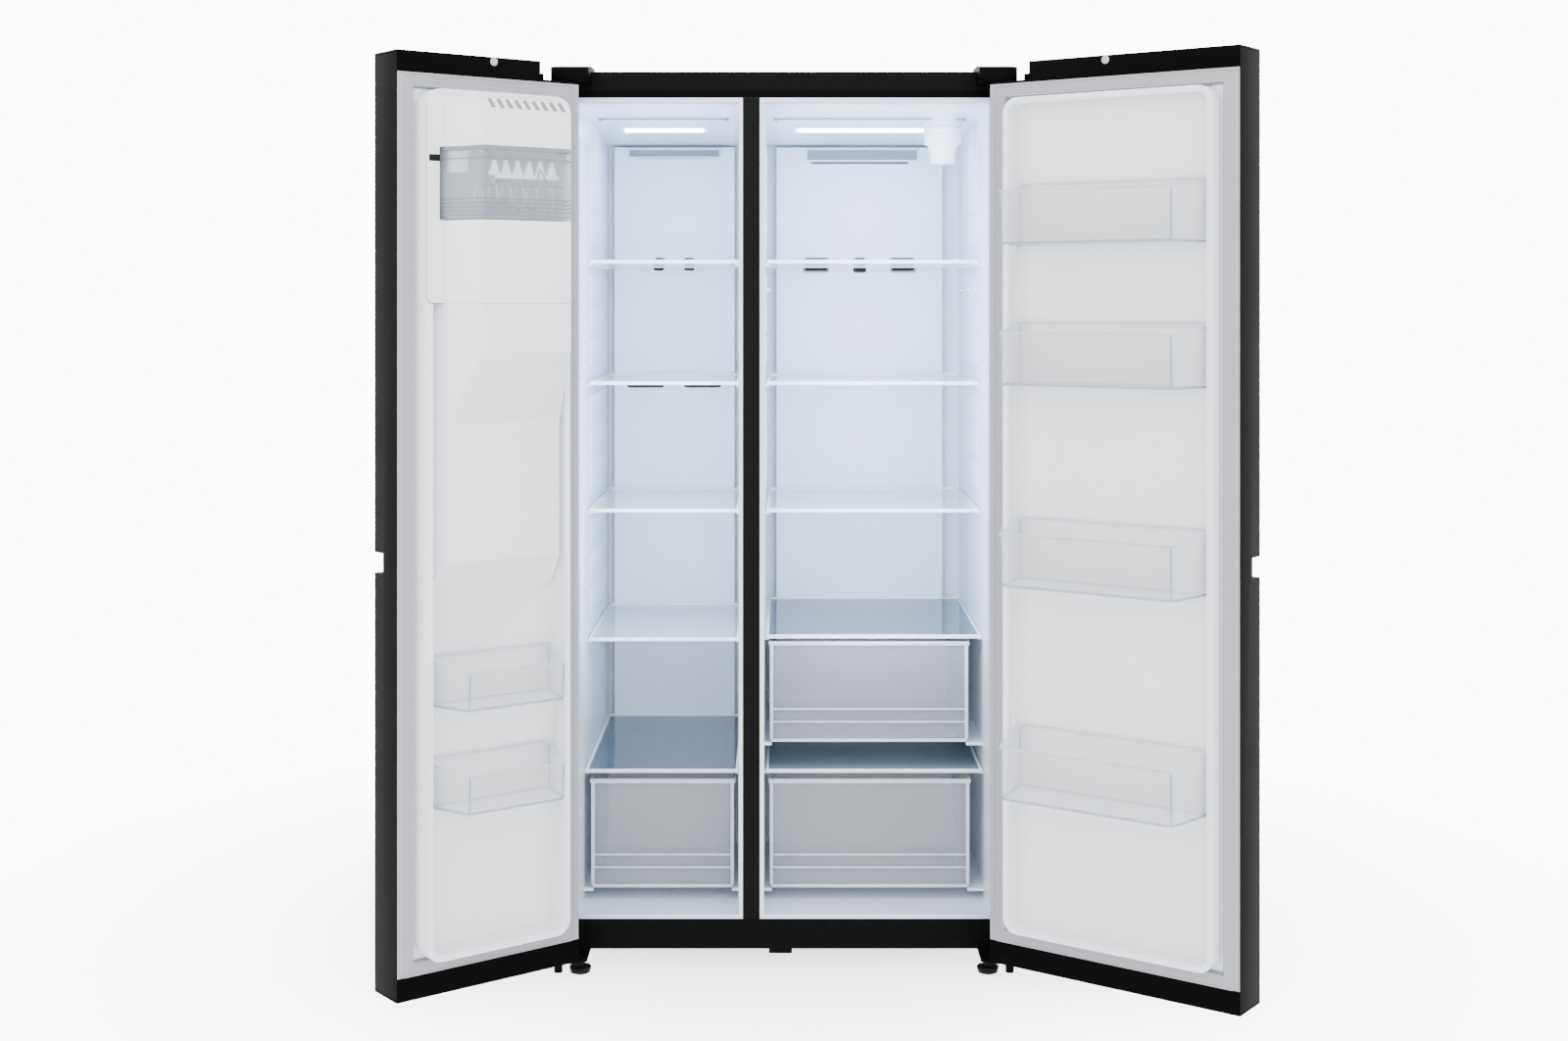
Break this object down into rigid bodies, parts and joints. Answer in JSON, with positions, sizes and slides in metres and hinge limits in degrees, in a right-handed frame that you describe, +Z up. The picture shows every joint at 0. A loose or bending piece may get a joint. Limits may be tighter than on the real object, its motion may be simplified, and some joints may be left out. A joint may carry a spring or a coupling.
{
  "type": "side by side refrigerator",
  "caption": "Tall two-door refrigerator, doors open: narrow freezer with in-door ice maker and dispenser, wide fresh food side with glass shelves, crisper drawers and door baskets.",
  "frame": {"origin": "centre of the cabinet's base plate, on its underside; the floor is 31 mm lower, under the feet", "axes": "+Z up, -Y out of the front that the doors close, +X to the right of a viewer who faces the front"},
  "size_m": [1.6284, 1.2188, 1.785],
  "materials": {
    "black_steel": "satin",
    "black_plastic": "satin",
    "white_liner": "satin",
    "insulation_foam": "matte",
    "gray_rubber": "matte",
    "clear_plastic": "gloss",
    "shelf_glass": "gloss",
    "cover_glass": "gloss",
    "zinc": "satin",
    "aluminium": "satin",
    "copper": "satin"
  },
  "bodies": {
    "cabinet": {"cabinet_shell": "black_steel", "back_panel": "black_steel", "base_plate": "black_steel", "cabinet_foam": "insulation_foam", "freezer_liner": "white_liner", "fridge_liner": "white_liner", "mullion_cover": "black_steel", "freezer_duct_panel": "white_liner", "fridge_duct_panel": "white_liner", "compressor": "black_plastic", "condenser": "copper", "machine_cover": "zinc", "evaporator": "aluminium", "top_hinge_left": "zinc", "top_hinge_right": "zinc", "top_hinge_cover_left": "black_plastic", "top_hinge_cover_right": "black_plastic", "bottom_hinge_left": "black_steel", "bottom_hinge_right": "black_steel", "freezer_drawer_cover": "cover_glass", "lower_crisper_cover": "cover_glass", "upper_crisper_cover": "cover_glass"},
    "left_door": {"left_door_skin": "black_steel", "left_door_foam": "insulation_foam", "left_door_liner": "white_liner", "left_door_gasket": "gray_rubber", "left_door_top_cap": "black_plastic", "left_door_bottom_cap": "black_plastic", "ice_housing": "white_liner", "ice_maker": "aluminium", "dispenser_bay": "black_plastic"},
    "right_door": {"right_door_skin": "black_steel", "right_door_foam": "insulation_foam", "right_door_liner": "white_liner", "right_door_gasket": "gray_rubber", "right_door_top_cap": "black_plastic", "right_door_bottom_cap": "black_plastic"},
    "freezer_shelf_1": {"freezer_shelf_1": "shelf_glass"},
    "freezer_shelf_2": {"freezer_shelf_2": "shelf_glass"},
    "freezer_shelf_3": {"freezer_shelf_3": "shelf_glass"},
    "freezer_shelf_4": {"freezer_shelf_4": "shelf_glass"},
    "fridge_shelf_1": {"fridge_shelf_1": "shelf_glass"},
    "fridge_shelf_2": {"fridge_shelf_2": "shelf_glass"},
    "fridge_shelf_3": {"fridge_shelf_3": "shelf_glass"},
    "freezer_drawer": {"freezer_drawer": "clear_plastic"},
    "lower_crisper": {"lower_crisper": "clear_plastic"},
    "upper_crisper": {"upper_crisper": "clear_plastic"},
    "left_basket_1": {"left_basket_1": "clear_plastic"},
    "left_basket_2": {"left_basket_2": "clear_plastic"},
    "right_basket_1": {"right_basket_1": "clear_plastic"},
    "right_basket_2": {"right_basket_2": "clear_plastic"},
    "right_basket_3": {"right_basket_3": "clear_plastic"},
    "right_basket_4": {"right_basket_4": "clear_plastic"},
    "ice_bucket": {"ice_bucket": "clear_plastic"},
    "dispenser_lever": {"dispenser_lever": "black_plastic"},
    "filter_cartridge": {"filter_cartridge": "white_liner"},
    "foot_left": {"foot_left": "black_plastic"},
    "foot_right": {"foot_right": "black_plastic"},
    "rear_rollers": {"rear_rollers": "black_plastic"},
    "condenser_fan": {"condenser_fan": "black_plastic"}
  },
  "joints": [
    {"name": "left_door_swing", "type": "hinge", "parent": "cabinet", "child": "left_door", "pos_m": [-0.441, -0.4355, 0.87], "axis": [0, 0, -1], "range_deg": [-142, 6]},
    {"name": "right_door_swing", "type": "hinge", "parent": "cabinet", "child": "right_door", "pos_m": [0.441, -0.4355, 0.87], "axis": [0, 0, 1], "range_deg": [-143.8, 4.2]},
    {"name": "freezer_shelf_1_slide", "type": "slide", "parent": "cabinet", "child": "freezer_shelf_1", "axis": [0, -1, 0], "range_m": [0, 0.25]},
    {"name": "freezer_shelf_2_slide", "type": "slide", "parent": "cabinet", "child": "freezer_shelf_2", "axis": [0, -1, 0], "range_m": [0, 0.25]},
    {"name": "freezer_shelf_3_slide", "type": "slide", "parent": "cabinet", "child": "freezer_shelf_3", "axis": [0, -1, 0], "range_m": [0, 0.25]},
    {"name": "freezer_shelf_4_slide", "type": "slide", "parent": "cabinet", "child": "freezer_shelf_4", "axis": [0, -1, 0], "range_m": [0, 0.25]},
    {"name": "fridge_shelf_1_slide", "type": "slide", "parent": "cabinet", "child": "fridge_shelf_1", "axis": [0, -1, 0], "range_m": [0, 0.25]},
    {"name": "fridge_shelf_2_slide", "type": "slide", "parent": "cabinet", "child": "fridge_shelf_2", "axis": [0, -1, 0], "range_m": [0, 0.25]},
    {"name": "fridge_shelf_3_slide", "type": "slide", "parent": "cabinet", "child": "fridge_shelf_3", "axis": [0, -1, 0], "range_m": [0, 0.25]},
    {"name": "freezer_drawer_slide", "type": "slide", "parent": "cabinet", "child": "freezer_drawer", "axis": [0, -1, 0], "range_m": [0, 0.32]},
    {"name": "lower_crisper_slide", "type": "slide", "parent": "cabinet", "child": "lower_crisper", "axis": [0, -1, 0], "range_m": [0, 0.32]},
    {"name": "upper_crisper_slide", "type": "slide", "parent": "cabinet", "child": "upper_crisper", "axis": [0, -1, 0], "range_m": [0, 0.32]},
    {"name": "left_basket_1_lift", "type": "slide", "parent": "left_door", "child": "left_basket_1", "axis": [0, 0, 1], "range_m": [0, 0.05]},
    {"name": "left_basket_2_lift", "type": "slide", "parent": "left_door", "child": "left_basket_2", "axis": [0, 0, 1], "range_m": [0, 0.05]},
    {"name": "right_basket_1_lift", "type": "slide", "parent": "right_door", "child": "right_basket_1", "axis": [0, 0, 1], "range_m": [0, 0.05]},
    {"name": "right_basket_2_lift", "type": "slide", "parent": "right_door", "child": "right_basket_2", "axis": [0, 0, 1], "range_m": [0, 0.05]},
    {"name": "right_basket_3_lift", "type": "slide", "parent": "right_door", "child": "right_basket_3", "axis": [0, 0, 1], "range_m": [0, 0.05]},
    {"name": "right_basket_4_lift", "type": "slide", "parent": "right_door", "child": "right_basket_4", "axis": [0, 0, 1], "range_m": [0, 0.05]},
    {"name": "ice_bucket_slide", "type": "slide", "parent": "left_door", "child": "ice_bucket", "axis": [0.6157, -0.788, 0], "range_m": [0, 0.13]},
    {"name": "dispenser_lever_push", "type": "hinge", "parent": "left_door", "child": "dispenser_lever", "pos_m": [-0.57361, -0.55814, 1.1562], "axis": [-0.788, -0.6157, 0], "range_deg": [0, 7], "stiffness_Nm_per_rad": 1.5},
    {"name": "filter_twist", "type": "hinge", "parent": "cabinet", "child": "filter_cartridge", "pos_m": [0.335, -0.1125, 1.61], "axis": [0, 0, -1], "range_deg": [0, 90]},
    {"name": "foot_left_turn", "type": "hinge", "parent": "cabinet", "child": "foot_left", "pos_m": [-0.4, -0.4175, -0.02], "axis": [0, 0, 1], "continuous": true},
    {"name": "foot_right_turn", "type": "hinge", "parent": "cabinet", "child": "foot_right", "pos_m": [0.4, -0.4175, -0.02], "axis": [0, 0, 1], "continuous": true},
    {"name": "rear_rollers_roll", "type": "hinge", "parent": "cabinet", "child": "rear_rollers", "pos_m": [0, 0.3125, -0.016], "axis": [1, 0, 0], "continuous": true},
    {"name": "condenser_fan_spin", "type": "hinge", "parent": "cabinet", "child": "condenser_fan", "pos_m": [-0.04, 0.2575, 0.1085], "axis": [1, 0, 0], "continuous": true}
  ]
}
